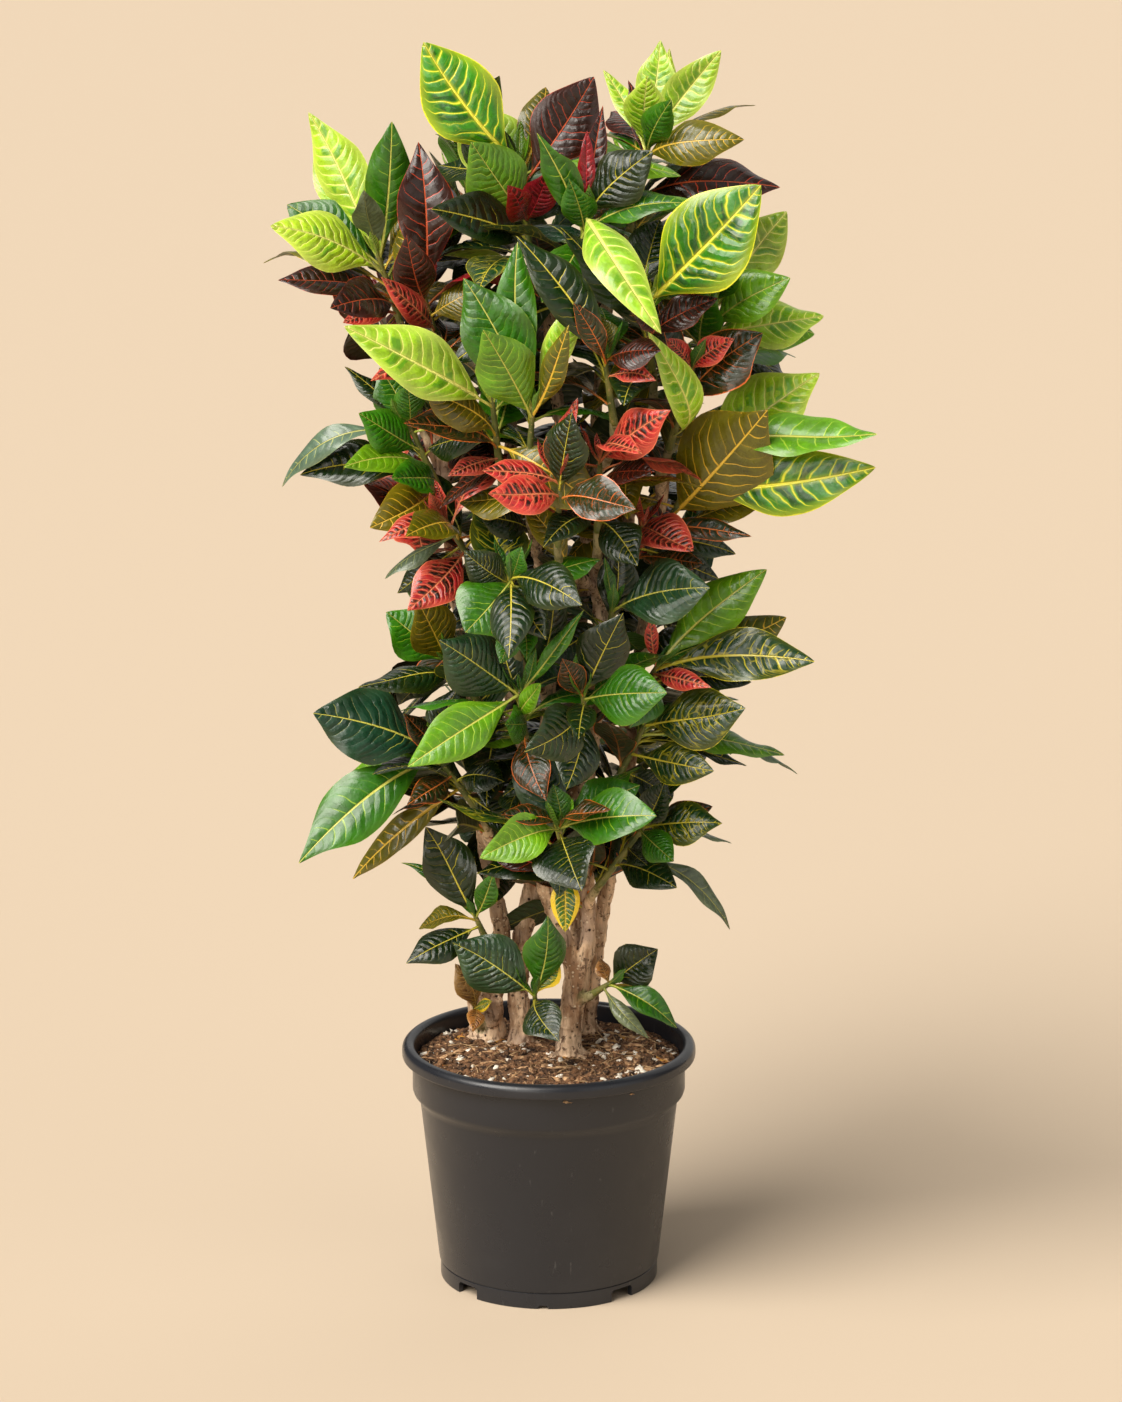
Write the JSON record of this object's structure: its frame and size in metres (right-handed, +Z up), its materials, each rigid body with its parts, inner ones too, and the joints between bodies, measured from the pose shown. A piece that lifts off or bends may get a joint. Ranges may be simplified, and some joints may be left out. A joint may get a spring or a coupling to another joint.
{
  "type": "potted croton",
  "caption": "Bushy croton with broad veined leaves in lime, green, bronze and red on woody stems, in a round black nursery pot filled with soil.",
  "frame": {"origin": "under the middle of the whole plant's box, level with the pot's foot; the pot's axis stands 14 mm to -X and 11 mm to +Y of it", "axes": "+Z up along the pot's axis, -Y towards the picture's viewer, +X to the right as the viewer sees it"},
  "size_m": [0.5406, 0.4306, 1.1422],
  "materials": {
    "pot_plastic": "black injection-moulded nursery pot, soft sheen, brighter rounded rim",
    "potting_soil": "dark brown peat and bark mix with white perlite grains",
    "bark": "tan grey-brown bark with pale dots and leaf scars",
    "leaf_lime": "glossy young leaf, yellow-green with pale yellow veins",
    "leaf_green": "glossy green leaf with yellow midrib and veins",
    "leaf_dark": "glossy old leaf, dark green to bronze, with yellow or orange veins",
    "leaf_red": "glossy leaf, coral to wine red with dark blotches",
    "leaf_dry": "dull dried leaf, curled, brown and yellow"
  },
  "bodies": {
    "root": {"pot": "pot_plastic", "soil": "potting_soil", "stem_front": "bark", "stem_right": "bark", "stem_left": "bark", "stem_back_left": "bark", "stem_back_right": "bark", "head_top_left": "leaf_lime", "head_upper_left": "leaf_red", "head_top": "leaf_green", "head_top_middle": "leaf_green", "head_top_right": "leaf_lime", "head_right_front": "leaf_lime", "head_right_upper": "leaf_lime", "head_right_middle": "leaf_dark", "head_right_lower": "leaf_lime", "head_centre_right": "leaf_dark", "head_centre_left": "leaf_green", "head_left_front": "leaf_lime", "head_left_upper": "leaf_green", "head_centre": "leaf_red", "head_centre_small": "leaf_red", "head_right_red": "leaf_red", "head_left_red": "leaf_red", "head_left_middle": "leaf_green", "head_centre_dark": "leaf_dark", "head_centre_silver": "leaf_green", "head_star_upper": "leaf_green", "head_right_grey": "leaf_green", "head_right_long": "leaf_dark", "head_right_net": "leaf_dark", "head_star_lower": "leaf_green", "head_right_low": "leaf_dark", "head_left_long": "leaf_green", "sprout_left": "leaf_dark", "sprout_front": "leaf_green", "sprout_right": "leaf_dark", "sprout_dried": "leaf_dry", "head_back_top_left": "leaf_lime", "head_back_top_right": "leaf_lime", "head_back_top": "leaf_green", "head_back_left_upper": "leaf_red", "head_back_right_upper": "leaf_green", "head_back_middle_left": "leaf_dark", "head_back_middle_right": "leaf_lime", "head_back_left": "leaf_red", "head_back_right": "leaf_dark", "head_back_centre": "leaf_green", "head_back_low_left": "leaf_dark", "head_back_low_right": "leaf_dark", "head_back_low_centre": "leaf_green", "head_back_lowest": "leaf_dark"}
  },
  "joints": []
}
